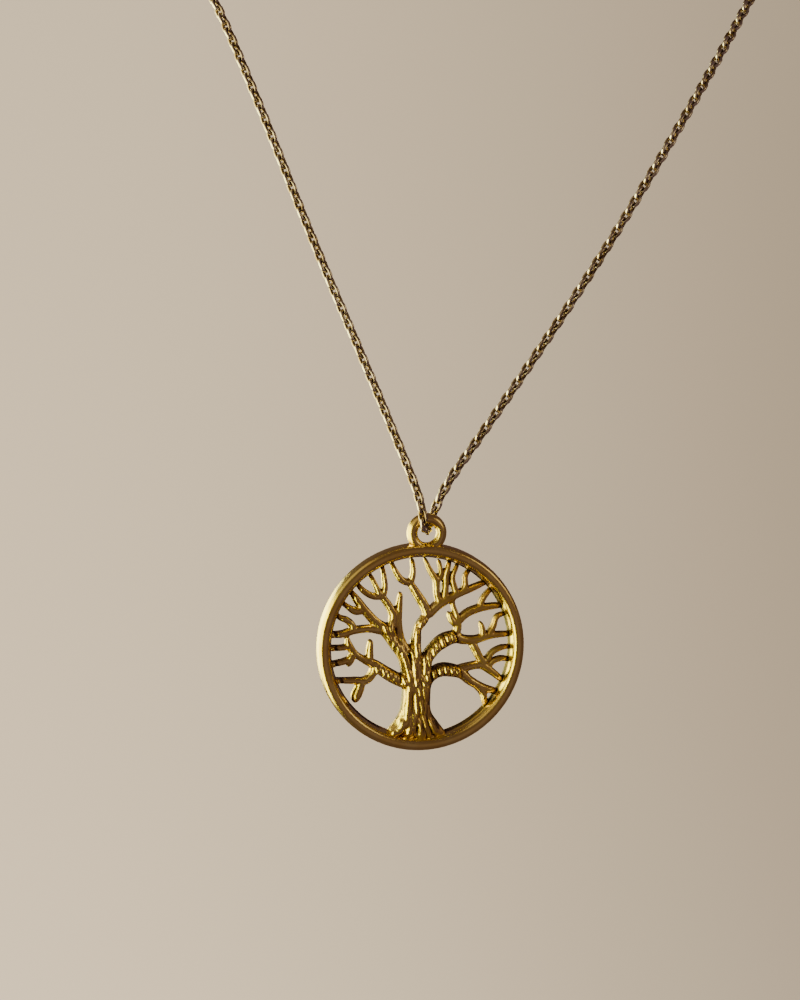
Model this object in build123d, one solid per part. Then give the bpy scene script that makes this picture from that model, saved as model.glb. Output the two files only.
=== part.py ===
from build123d import *
import os
from math import hypot, pi, radians, sqrt, tan

# A necklace: a cast openwork tree charm hung by its eye on a fine cable chain.
# X runs to the viewer's right, Y away from the viewer and Z up, in millimetres.
# The origin is the point where the clasp rests on the nape of the neck.

# Charm
disc_radius = 12.5
rim_width = 1.7
rim_depth = 2.3
tree_recess = 0.2  # from the rim's back to the tree's back
stem_wall = 0.8  # height of a stem's upright sides
deepest_relief = 0.75  # how far the thickest stem's crest stands over its sides
crest_share = 0.42  # width of a crest, as a share of its stem's width

# Eye cast on the charm's top, which the chain is threaded through
eye_hole_radius = 1.15
eye_ring_width = 1.25
eye_depth = 1.7
eye_edge = 0.35  # bevel on the ring's edges
eye_lift = 0.1  # from the disc's outer edge out to the hole
eye_across = -0.4  # from the disc's middle to the eye's middle, to the viewer's right

# Chain
chain_diameter = 1.0
chain_gap = 0.18  # clearance in front of and behind the eye's ring
hang_gap = 0.2  # clearance under the top of the eye's hole
fold_radius = 1.0  # bend of the chain where it goes round the ring
fold_slant = 0.3  # how far the chain drifts sideways on each side of the hole's middle
corner_share = 0.45  # share of the shorter run that a corner's arc takes

# Clasp
clasp_diameter = 2.6
clasp_barrel_length = 8.0
clasp_neck = 0.5  # rounding of the barrel's ends
clasp_tab_length = 2.0
clasp_tab_width = 1.8
clasp_tab_thickness = 1.0
clasp_tab_hole = 0.9

# Where the eye hangs, seen from the nape. The disc's middle is straight under the nape.
eye_back = -102.0
eye_drop = -130.0

# Rim section, as shares. across: from the inner wall (0) to the outer wall (1) of rim_width.
# depth: from the flat back (0) to the crest (1) of rim_depth.
rim_section = [
    # across, depth
    (0.08, 0.00),
    (0.90, 0.00),
    (1.00, 0.12),
    (1.00, 0.42),
    (0.95, 0.64),
    (0.82, 0.88),
    (0.64, 1.00),
    (0.48, 0.97),
    (0.30, 0.78),
    (0.12, 0.42),
    (0.00, 0.06),
]

# Stems of the tree, as shares of disc_radius, from root to tip.
# across: to the viewer's right of the disc's centre. up: above it. half: half the stem's width.
stems = {
    # across, up, half
    "left_limb": [
        (-0.245, -0.895, 0.050),
        (-0.205, -0.840, 0.058),
        (-0.150, -0.775, 0.065),
        (-0.105, -0.660, 0.055),
        (-0.090, -0.500, 0.055),
        (-0.100, -0.330, 0.055),
        (-0.140, -0.180, 0.050),
        (-0.170, -0.100, 0.050),
        (-0.250, 0.010, 0.055),
        (-0.335, 0.130, 0.065),
        (-0.440, 0.205, 0.050),
        (-0.560, 0.320, 0.045),
        (-0.660, 0.435, 0.040),
        (-0.730, 0.520, 0.022),
    ],
    "centre_limb": [
        (-0.070, -0.920, 0.072),
        (-0.045, -0.720, 0.060),
        (-0.020, -0.500, 0.060),
        (-0.030, -0.280, 0.065),
        (-0.050, -0.100, 0.060),
        (-0.050, 0.080, 0.050),
        (-0.035, 0.200, 0.040),
        (-0.005, 0.240, 0.045),
        (0.035, 0.310, 0.048),
    ],
    "right_limb": [
        (0.060, -0.925, 0.068),
        (0.050, -0.700, 0.058),
        (0.050, -0.500, 0.060),
        (0.055, -0.300, 0.065),
        (0.060, -0.120, 0.060),
        (0.130, -0.010, 0.060),
        (0.215, 0.065, 0.070),
        (0.310, 0.105, 0.062),
        (0.420, 0.085, 0.048),
        (0.540, 0.095, 0.042),
        (0.660, 0.135, 0.038),
        (0.880, 0.165, 0.028),
    ],
    "low_right_limb": [
        (0.300, -0.880, 0.052),
        (0.170, -0.755, 0.065),
        (0.105, -0.640, 0.050),
        (0.085, -0.480, 0.045),
        (0.095, -0.320, 0.050),
        (0.200, -0.220, 0.065),
        (0.310, -0.215, 0.065),
        (0.420, -0.245, 0.054),
        (0.500, -0.305, 0.048),
        (0.620, -0.365, 0.042),
        (0.800, -0.410, 0.032),
    ],
    "root_middle": [
        (0.190, -0.930, 0.038),
        (0.120, -0.780, 0.050),
        (0.080, -0.660, 0.040),
    ],
    "left_limb_spur": [
        (-0.570, 0.330, 0.040),
        (-0.660, 0.315, 0.040),
        (-0.730, 0.350, 0.030),
        (-0.800, 0.400, 0.025),
    ],
    "left_arm": [
        (-0.360, 0.130, 0.045),
        (-0.500, 0.150, 0.040),
        (-0.650, 0.130, 0.040),
        (-0.780, 0.085, 0.038),
        (-0.880, 0.075, 0.032),
    ],
    "left_arm_twig": [
        (-0.660, 0.100, 0.040),
        (-0.680, 0.180, 0.038),
        (-0.735, 0.225, 0.035),
        (-0.800, 0.245, 0.030),
        (-0.860, 0.300, 0.024),
    ],
    "inner_left_limb": [
        (-0.270, 0.050, 0.045),
        (-0.295, 0.190, 0.045),
        (-0.295, 0.300, 0.042),
        (-0.345, 0.390, 0.040),
        (-0.420, 0.475, 0.036),
    ],
    "inner_left_fork": [
        (-0.425, 0.455, 0.032),
        (-0.465, 0.540, 0.030),
        (-0.560, 0.700, 0.020),
    ],
    "inner_left_drop": [
        (-0.410, 0.460, 0.032),
        (-0.500, 0.465, 0.034),
        (-0.590, 0.510, 0.032),
        (-0.685, 0.610, 0.020),
    ],
    "inner_left_top": [
        (-0.400, 0.460, 0.030),
        (-0.390, 0.560, 0.030),
        (-0.405, 0.650, 0.028),
        (-0.435, 0.780, 0.020),
    ],
    "bud_limb": [
        (-0.120, -0.060, 0.045),
        (-0.195, 0.050, 0.045),
        (-0.235, 0.200, 0.042),
        (-0.240, 0.380, 0.035),
        (-0.235, 0.520, 0.024),
    ],
    "long_limb": [
        (0.050, 0.270, 0.042),
        (0.010, 0.385, 0.048),
        (-0.070, 0.500, 0.045),
        (-0.155, 0.615, 0.036),
    ],
    "long_limb_top": [
        (-0.150, 0.590, 0.034),
        (-0.130, 0.700, 0.030),
        (-0.150, 0.850, 0.022),
    ],
    "long_limb_left": [
        (-0.140, 0.600, 0.034),
        (-0.235, 0.635, 0.036),
        (-0.300, 0.715, 0.030),
        (-0.360, 0.830, 0.020),
    ],
    "upper_limb": [
        (0.030, 0.290, 0.048),
        (0.120, 0.395, 0.048),
        (0.220, 0.470, 0.048),
        (0.330, 0.530, 0.040),
        (0.450, 0.585, 0.036),
        (0.560, 0.640, 0.030),
        (0.650, 0.680, 0.025),
    ],
    "top_limb": [
        (0.160, 0.400, 0.036),
        (0.115, 0.520, 0.034),
        (0.095, 0.650, 0.036),
        (0.030, 0.745, 0.030),
        (-0.030, 0.860, 0.020),
    ],
    "top_limb_twig": [
        (0.100, 0.610, 0.030),
        (0.135, 0.700, 0.026),
        (0.110, 0.850, 0.022),
    ],
    "crown_limb": [
        (0.190, 0.440, 0.036),
        (0.195, 0.560, 0.036),
        (0.190, 0.690, 0.034),
        (0.220, 0.850, 0.024),
    ],
    "crown_twig": [
        (0.320, 0.510, 0.034),
        (0.280, 0.590, 0.034),
        (0.255, 0.670, 0.030),
        (0.300, 0.820, 0.022),
    ],
    "crown_outer_twig": [
        (0.350, 0.530, 0.034),
        (0.385, 0.610, 0.032),
        (0.380, 0.700, 0.028),
        (0.430, 0.780, 0.022),
    ],
    "right_limb_twig": [
        (0.320, 0.100, 0.045),
        (0.345, 0.210, 0.040),
        (0.325, 0.310, 0.032),
        (0.275, 0.450, 0.026),
        (0.290, 0.540, 0.024),
    ],
    "right_limb_bud": [
        (0.335, 0.220, 0.036),
        (0.280, 0.270, 0.034),
        (0.245, 0.350, 0.026),
    ],
    "upper_right_limb": [
        (0.330, 0.240, 0.038),
        (0.420, 0.340, 0.042),
        (0.520, 0.390, 0.042),
        (0.650, 0.420, 0.036),
        (0.790, 0.440, 0.028),
    ],
    "upper_right_twig": [
        (0.540, 0.390, 0.032),
        (0.570, 0.490, 0.030),
        (0.660, 0.610, 0.024),
    ],
    "right_arm_twig": [
        (0.600, 0.110, 0.034),
        (0.590, 0.190, 0.032),
        (0.560, 0.270, 0.024),
    ],
    "right_arm_fork": [
        (0.640, 0.130, 0.032),
        (0.690, 0.220, 0.032),
        (0.720, 0.320, 0.028),
        (0.840, 0.370, 0.022),
    ],
    "right_hook": [
        (0.480, 0.080, 0.040),
        (0.535, 0.000, 0.042),
        (0.585, -0.080, 0.040),
        (0.660, -0.150, 0.036),
    ],
    "right_hook_twig": [
        (0.640, -0.120, 0.032),
        (0.710, -0.020, 0.030),
        (0.790, 0.025, 0.028),
        (0.890, 0.040, 0.024),
    ],
    "low_right_upper": [
        (0.360, -0.220, 0.050),
        (0.480, -0.175, 0.042),
        (0.600, -0.155, 0.042),
        (0.700, -0.205, 0.040),
        (0.850, -0.310, 0.030),
    ],
    "low_right_twig": [
        (0.660, -0.180, 0.034),
        (0.720, -0.110, 0.032),
        (0.800, -0.080, 0.030),
        (0.890, -0.090, 0.026),
    ],
    "low_right_drop": [
        (0.560, -0.340, 0.040),
        (0.640, -0.420, 0.038),
        (0.670, -0.500, 0.034),
        (0.710, -0.600, 0.030),
    ],
    "low_left_limb": [
        (-0.080, -0.370, 0.055),
        (-0.200, -0.325, 0.062),
        (-0.320, -0.265, 0.060),
        (-0.430, -0.195, 0.050),
        (-0.550, -0.130, 0.036),
        (-0.625, -0.050, 0.034),
        (-0.690, 0.060, 0.026),
    ],
    "low_left_spur": [
        (-0.480, -0.170, 0.040),
        (-0.490, -0.080, 0.038),
        (-0.490, 0.050, 0.028),
    ],
    "low_left_hook": [
        (-0.430, -0.180, 0.045),
        (-0.445, -0.270, 0.044),
        (-0.500, -0.345, 0.042),
        (-0.620, -0.355, 0.036),
        (-0.810, -0.370, 0.030),
    ],
    "low_left_leaf": [
        (-0.545, -0.340, 0.040),
        (-0.545, -0.430, 0.048),
        (-0.560, -0.500, 0.042),
        (-0.590, -0.570, 0.024),
    ],
    "left_rung_upper": [
        (-0.640, -0.030, 0.038),
        (-0.710, -0.035, 0.042),
        (-0.790, -0.045, 0.032),
        (-0.880, -0.050, 0.028),
    ],
    "left_rung_lower": [
        (-0.600, -0.090, 0.036),
        (-0.660, -0.150, 0.046),
        (-0.760, -0.185, 0.036),
        (-0.870, -0.215, 0.030),
    ],
}

# Chain route from the eye to the clasp, chosen by hand: across, back and up from the origin.
# The stretch at the eye is worked out from the eye's own sizes.
chain_route = {
    "left": [
        (-1.75, -103.9, -125.9),
        (-4.5, -101.6, -120.3),
        (-8.9, -98.9, -110.9),
        (-15.9, -95.6, -96.0),
        (-22.1, -91.8, -82.0),
        (-27.9, -82.7, -68.2),
        (-34.8, -71.0, -55.0),
        (-42.5, -58.0, -42.5),
        (-49.5, -43.0, -31.0),
        (-51.5, -27.5, -20.0),
        (-44.5, -13.0, -9.5),
        (-29.5, -3.5, -1.5),
        (-14.0, 0.0, 1.3),
    ],
    "right": [
        (1.75, -100.3, -124.6),
        (5.6, -99.1, -118.8),
        (11.3, -97.7, -110.0),
        (19.4, -97.1, -96.2),
        (28.6, -93.4, -80.3),
        (38.0, -84.5, -65.8),
        (46.8, -73.5, -53.0),
        (53.5, -60.0, -41.5),
        (57.5, -44.5, -30.5),
        (56.5, -28.0, -19.5),
        (47.0, -13.0, -9.5),
        (30.5, -3.5, -1.5),
        (14.0, 0.0, 1.3),
    ],
}

# Places that follow from the sizes
eye_rise = sqrt((disc_radius + eye_lift + eye_hole_radius) ** 2 - eye_across**2)  # above the disc's middle
disc_drop = eye_drop - eye_rise
rim_back = -rim_depth / 2  # on the charm's own axis, which points at the viewer
tree_back = rim_back + tree_recess
stem_shoulder = tree_back + stem_wall
widest_half = max(half for rows in stems.values() for _, _, half in rows)
hang_height = eye_drop + eye_hole_radius - chain_diameter / 2 - hang_gap
fold_reach = eye_depth / 2 + chain_diameter / 2 + chain_gap
clasp_half = clasp_barrel_length / 2 + clasp_tab_length
clasp_centre = clasp_diameter / 2


def ring(section):
    """A ring about the charm's axis, from its section's corners."""
    outline = make_face(Polyline([(radius, 0, depth) for radius, depth in section], close=True))
    return revolve(outline, Axis.Z)


def charm_rim():
    inner = disc_radius - rim_width
    corners = [(inner + across * rim_width, rim_back + depth * rim_depth) for across, depth in rim_section]
    return ring(corners)


def charm_eye():
    inner, outer = eye_hole_radius, eye_hole_radius + eye_ring_width
    front = eye_depth / 2
    corners = [
        (inner, eye_edge - front),
        (inner + eye_edge, -front),
        (outer - eye_edge, -front),
        (outer, eye_edge - front),
        (outer, front - eye_edge),
        (outer - eye_edge, front),
        (inner + eye_edge, front),
        (inner, front - eye_edge),
    ]
    return Pos(eye_across, eye_rise, 0) * ring(corners)


def stem_solid(rows):
    """One stem: a flat back, upright sides, and slopes that climb to a narrower crest."""
    places = [(across * disc_radius, up * disc_radius, half * disc_radius) for across, up, half in rows]
    sections = []
    for n, (x, y, half) in enumerate(places):
        before, after = places[max(n - 1, 0)], places[min(n + 1, len(places) - 1)]
        run_x, run_y = after[0] - before[0], after[1] - before[1]
        run = hypot(run_x, run_y)
        side_x, side_y = -run_y / run * half, run_x / run * half
        crest = stem_shoulder + deepest_relief * half / (widest_half * disc_radius)
        sections.append(
            [
                Vector(x + side_x * share, y + side_y * share, height)
                for share, height in (
                    (1, tree_back),
                    (1, stem_shoulder),
                    (crest_share, crest),
                    (-crest_share, crest),
                    (-1, stem_shoulder),
                    (-1, tree_back),
                )
            ]
        )
    faces = [polygon(sections[0]), polygon(sections[-1])]
    faces.append(polygon([section[0] for section in sections] + [section[5] for section in reversed(sections)]))
    for here, there in zip(sections, sections[1:]):
        for side in (0, 4):
            faces.append(polygon([here[side], there[side], there[side + 1], here[side + 1]]))
        for side in (1, 2, 3):
            faces.append(polygon([here[side], there[side], there[side + 1]]))
            faces.append(polygon([here[side], there[side + 1], here[side + 1]]))
    return Solid(Shell(faces))


def polygon(corners):
    return Face(Wire.make_polygon(corners, close=True))


def charm():
    """The casting: rim, eye and tree as one solid, with its axis turned to face the viewer."""
    body = charm_rim().fuse(charm_eye(), *[stem_solid(rows) for rows in stems.values()])
    facing = Plane(origin=(0, eye_back, disc_drop), x_dir=(1, 0, 0), z_dir=(0, -1, 0))
    return facing.location * body


def eye_crossing(side):
    """The end points of one half of the chain where it folds round the eye's ring: the left half passes
    in front of the ring and the right half behind it, and they meet in the middle of the hole."""
    front = side == "left"
    reach = -fold_reach if front else fold_reach
    middle = Vector(eye_across - fold_slant / 2, eye_back, hang_height)
    drift = -fold_slant if front else fold_slant
    return [middle, Vector(middle.X + drift, eye_back + reach, hang_height)]


def chain_half(side):
    """A tube in the place of half the chain: straight runs joined by tangent arcs."""
    end = clasp_half if side == "right" else -clasp_half
    points = eye_crossing(side) + [Vector(*place) for place in chain_route[side]]
    points.append(Vector(end, 0, clasp_centre))
    radii = []
    for before, here, after in zip(points, points[1:], points[2:]):
        turn = radians((here - before).get_angle(after - here))
        shorter = min((here - before).length, (after - here).length)
        radii.append(corner_share * shorter / tan(turn / 2))
    radii[0] = fold_radius
    path = FilletPolyline(*points, radius=radii)
    tube = sweep(Plane(origin=path @ 0, z_dir=path % 0) * Circle(chain_diameter / 2), path=path)
    expected = pi * chain_diameter**2 / 4 * path.length
    print(f"chain_{side}: length {path.length:.1f}, radii", [round(radius, 1) for radius in radii])
    print(f"chain_{side}: volume {tube.volume:.2f}, section by length {expected:.2f}")
    return tube


def clasp():
    """A plain barrel with a pierced tab at each end, lying along X with its lowest line on the nape."""
    barrel = Rot(0, 90, 0) * Cylinder(clasp_diameter / 2, clasp_barrel_length)
    barrel = fillet(barrel.edges().filter_by(GeomType.CIRCLE), clasp_neck)
    tabs = Box(2 * clasp_half, clasp_tab_width, clasp_tab_thickness)
    hole_place = clasp_half - clasp_tab_length / 2
    holes = [Pos(x, 0, 0) * Cylinder(clasp_tab_hole / 2, clasp_diameter) for x in (-hole_place, hole_place)]
    return Pos(0, 0, clasp_centre) * (barrel + tabs - holes)


parts = {
    "pendant": charm(),
    "chain_left": chain_half("left"),
    "chain_right": chain_half("right"),
    "clasp": clasp(),
}

os.makedirs("parts", exist_ok=True)
for node, shape in parts.items():
    export_step(shape, f"parts/{node}.step")
    box = shape.bounding_box()
    print(f"{node}: {len(shape.solids())} solid, volume {shape.volume:.2f}, from {box.min} to {box.max}")
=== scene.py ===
import math

import bpy
import numpy as np
from mathutils import Matrix


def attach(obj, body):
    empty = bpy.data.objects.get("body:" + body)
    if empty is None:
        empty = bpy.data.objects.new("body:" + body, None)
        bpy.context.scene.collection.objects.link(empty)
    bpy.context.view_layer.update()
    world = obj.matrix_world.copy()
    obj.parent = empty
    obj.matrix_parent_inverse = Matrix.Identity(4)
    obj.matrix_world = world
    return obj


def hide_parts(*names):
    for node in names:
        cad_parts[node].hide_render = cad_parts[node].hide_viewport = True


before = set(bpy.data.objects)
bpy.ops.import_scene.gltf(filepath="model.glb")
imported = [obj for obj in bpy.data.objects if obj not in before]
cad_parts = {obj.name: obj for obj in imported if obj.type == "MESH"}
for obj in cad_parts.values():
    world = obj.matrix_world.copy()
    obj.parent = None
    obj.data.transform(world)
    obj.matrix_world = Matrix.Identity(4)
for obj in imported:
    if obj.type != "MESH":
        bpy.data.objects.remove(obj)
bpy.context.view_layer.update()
print("frame loaded")

# All sizes below are in millimetres, as on the bench. Meshes are scaled to metres when they are made.
millimetre = 0.001

# Where the charm hangs: the middle of its disc, with the viewer in front of it at -Y
charmPlace = {
    "discMiddle": (0.0, -102.0, -143.744),
    "eyeMiddle": (-0.4, 13.744),
}


# Camera. The charm's middle is at (421, 647) of an 800 x 1000 picture, at 8.38 pixels to the millimetre.
camera = {
    "azimuth": -12.0,
    "elevation": 10.0,
    "roll": 4.5,
    "distance": 350.0,
    "pixelsPerMm": 8.38,
    "pixel": (421.0, 647.0),
    "picture": (800, 1000),
    "sensor": 36.0,
    "clip": (0.02, 20.0),
}


def aimCamera(c):
    # back is the way from the charm to the camera. The view is then turned so that the charm falls on
    # its pixel, with no shift of the lens.
    az, el, roll = (math.radians(c[k]) for k in ("azimuth", "elevation", "roll"))
    back = np.array([math.sin(az) * math.cos(el), -math.cos(az) * math.cos(el), math.sin(el)])
    place = np.array(charmPlace["discMiddle"]) + c["distance"] * back
    level = np.array([math.cos(az), math.sin(az), 0.0])
    upright = np.cross(back, level)
    across = math.cos(roll) * level + math.sin(roll) * upright
    over = math.cos(roll) * upright - math.sin(roll) * level
    focal = c["distance"] * c["pixelsPerMm"]
    shiftX = (c["pixel"][0] - c["picture"][0] / 2) / focal
    shiftY = -(c["pixel"][1] - c["picture"][1] / 2) / focal
    forward = -back - across * shiftX - over * shiftY
    forward /= np.linalg.norm(forward)
    right = across - forward * (across @ forward)
    right /= np.linalg.norm(right)
    up = np.cross(right, forward)
    lens = bpy.data.cameras.new("camera")
    lens.lens = focal * c["sensor"] / max(c["picture"])
    lens.sensor_width = c["sensor"]
    lens.clip_start, lens.clip_end = c["clip"]
    holder = bpy.data.objects.new("camera", lens)
    turn = Matrix([[right[i], up[i], -forward[i]] for i in range(3)]).to_4x4()
    turn.translation = (place * millimetre).tolist()
    holder.matrix_world = turn
    bpy.context.scene.collection.objects.link(holder)
    bpy.context.scene.camera = holder


aimCamera(camera)


class Value:
    # One number that varies over a surface. Arithmetic on it adds Math nodes.
    def __init__(self, tree, socket):
        self.tree = tree
        self.socket = socket

    def maths(self, operation, *inputs):
        node = self.tree.nodes.new("ShaderNodeMath")
        node.operation = operation
        for slot, given in zip(node.inputs, inputs):
            if isinstance(given, Value):
                self.tree.links.new(given.socket, slot)
            else:
                slot.default_value = given
        return Value(self.tree, node.outputs[0])

    def __add__(self, other):
        return self.maths("ADD", self, other)

    def __radd__(self, other):
        return self.maths("ADD", other, self)

    def __sub__(self, other):
        return self.maths("SUBTRACT", self, other)

    def __rsub__(self, other):
        return self.maths("SUBTRACT", other, self)

    def __mul__(self, other):
        return self.maths("MULTIPLY", self, other)

    def __rmul__(self, other):
        return self.maths("MULTIPLY", other, self)

    def __truediv__(self, other):
        return self.maths("DIVIDE", self, other)

    def clamped(self):
        return self.maths("MINIMUM", self.maths("MAXIMUM", self, 0.0), 1.0)

    def between(self, low, high):
        # 0 at low, 1 at high, eased at both ends
        share = ((self - low) / (high - low)).clamped()
        return share * share * (3.0 - 2.0 * share)


class Finish:
    # A material under construction. make() adds one node of any type: its settings first, then the values
    # or links of its sockets, and it gives back one of its outputs.
    def __init__(self, name):
        self.material = bpy.data.materials.new(name)
        self.material.use_nodes = True
        self.tree = self.material.node_tree
        self.tree.nodes.clear()

    def make(self, kind, settings, inputs, output=0):
        node = self.tree.nodes.new(kind)
        for name, given in settings.items():
            setattr(node, name, given)
        for name, given in inputs.items():
            slot = node.inputs[name]
            if isinstance(given, Value):
                self.tree.links.new(given.socket, slot)
            elif slot.type == "RGBA":
                slot.default_value = (*given, 1.0)
            else:
                slot.default_value = given
        return Value(self.tree, node.outputs[output]) if len(node.outputs) else None

    def place(self):
        return self.make("ShaderNodeTexCoord", {}, {}, "Object")

    def attribute(self, name):
        return self.make("ShaderNodeAttribute", {"attribute_name": name}, {}, "Fac")

    def noise(self, where, perMm, detail=2.0, roughness=0.5):
        size = {"Vector": where, "Scale": perMm / millimetre, "Detail": detail, "Roughness": roughness}
        return self.make("ShaderNodeTexNoise", {"noise_dimensions": "3D"}, size, "Fac")

    def stretched(self, where, turn, scale):
        return self.make("ShaderNodeMapping", {}, {"Vector": where, "Rotation": turn, "Scale": scale})

    def blend(self, share, first, second):
        # the first colour where share is 0, the second where it is 1
        return self.make("ShaderNodeMix", {"data_type": "RGBA"}, {0: share, 6: first, 7: second}, 2)

    def relief(self, height, depthMm, strength=1.0, under=None):
        inputs = {"Height": height, "Distance": depthMm * millimetre, "Strength": strength}
        if under is not None:
            inputs["Normal"] = under
        return self.make("ShaderNodeBump", {}, inputs, "Normal")

    def done(self, inputs):
        shader = self.make("ShaderNodeBsdfPrincipled", {}, inputs)
        self.make("ShaderNodeOutputMaterial", {}, {"Surface": shader})
        return self.material


def addMesh(name, points, faces, material):
    # points in mm, one closed surface with its place in the mesh
    mesh = bpy.data.meshes.new(name)
    mesh.from_pydata((points * millimetre).tolist(), [], faces)
    mesh.update()
    mesh.polygons.foreach_set("use_smooth", np.full(len(mesh.polygons), True))
    mesh.materials.append(material)
    made = bpy.data.objects.new(name, mesh)
    bpy.context.scene.collection.objects.link(made)
    return made


def gridFaces(rows, columns, closedRows, closedColumns):
    # four-sided faces between neighbouring rows and columns of a grid of points
    r = np.arange(rows if closedRows else rows - 1)
    c = np.arange(columns if closedColumns else columns - 1)
    r, c = np.meshgrid(r, c, indexing="ij")
    here, below = r * columns, (r + 1) % rows * columns
    beside = (c + 1) % columns
    corners = [here + c, below + c, below + beside, here + beside]
    return np.stack(corners, axis=-1).reshape(-1, 4).tolist()


def ramp(values, zeroAt, oneAt):
    # 0 at the first mark, 1 at the second, and straight between them
    return np.clip((values - zeroAt) / (oneAt - zeroAt), 0.0, 1.0)


def throughPoints(rows, step):
    # A curve through every row: cubic pieces whose slopes are the centred differences over the chords,
    # sampled about every step of its length
    rows = np.array(rows, float)
    gaps = np.linalg.norm(np.diff(rows[:, :2], axis=0), axis=1)
    marks = np.concatenate([[0.0], np.cumsum(gaps)])
    slopes = np.gradient(rows, marks, axis=0)
    wanted = np.linspace(0, marks[-1], max(int(marks[-1] / step), 6))
    n = np.clip(np.searchsorted(marks, wanted, side="right") - 1, 0, len(gaps) - 1)
    u = ((wanted - marks[n]) / gaps[n])[:, None]
    h = gaps[n][:, None]
    start = (2 * u**3 - 3 * u**2 + 1) * rows[n] + (u**3 - 2 * u**2 + u) * h * slopes[n]
    end = (3 * u**2 - 2 * u**3) * rows[n + 1] + (u**3 - u**2) * h * slopes[n + 1]
    return start + end


# The casting's sizes, the same as the frame's but for the rim, which is 0.1 mm wider on its inside
charm = {
    "radius": 12.5,
    "rimWidth": 1.8,
    "rimDepth": 2.3,
    "rimSteps": 288,
    "rimCorners": 40,  # points round the rim's section
    "treeRecess": 0.2,
    "stemStep": 0.14,  # between two sections along a stem
    "stemEnd": 1.2,  # length of a stem's rounded ends, in half widths
    "stemWall": 0.8,
    "slimmer": ([0.30, 0.75], [0.88, 1.0]),  # half width in mm, and what it is multiplied by
    "deepestRelief": 0.75,
    "widestHalf": 0.072,
    "reliefPower": 0.75,
    "crestLean": 0.35,
    "leanFrom": (-0.97, -0.25),  # the way that the crests lean away from
    "voxel": 0.105,
    "smoothing": 2,
    "riseFrom": 0.9,  # the relief starts at this share of the wall
    "riseOver": 0.25,
    "sink": (10.1, 10.9),  # the twigs sink from the first distance out to the second
    "sinkDepth": 0.40,
    "rootSlope": -0.75,  # up over distance, below which nothing sinks
    "trunkRound": 0.40,
    "trunkHalf": ([-0.95, -0.75, -0.60, -0.20, 0.00], [0.34, 0.20, 0.15, 0.17, 0.24]),
    "trunkMiddle": ([-0.95, -0.60, -0.20, 0.00], [0.02, 0.00, -0.02, -0.02]),
    "trunkFade": ([-0.90, -0.75, -0.15, 0.05], [0.0, 1.0, 1.0, 0.0]),
    "eyeHole": 1.15,
    "eyeRing": 1.25,
    "eyeDepth": 1.7,
    "eyeSteps": 96,
    "eyeCorners": 36,  # points round the eye's section
    "sharpFrom": 60.0,  # degrees
    "gold": ((0.90, 0.64, 0.18), (0.97, 0.77, 0.25)),
    "bronze": (0.60, 0.36, 0.14),
    "patina": ((0.030, 0.013, 0.005), (0.12, 0.058, 0.022)),
}

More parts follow.
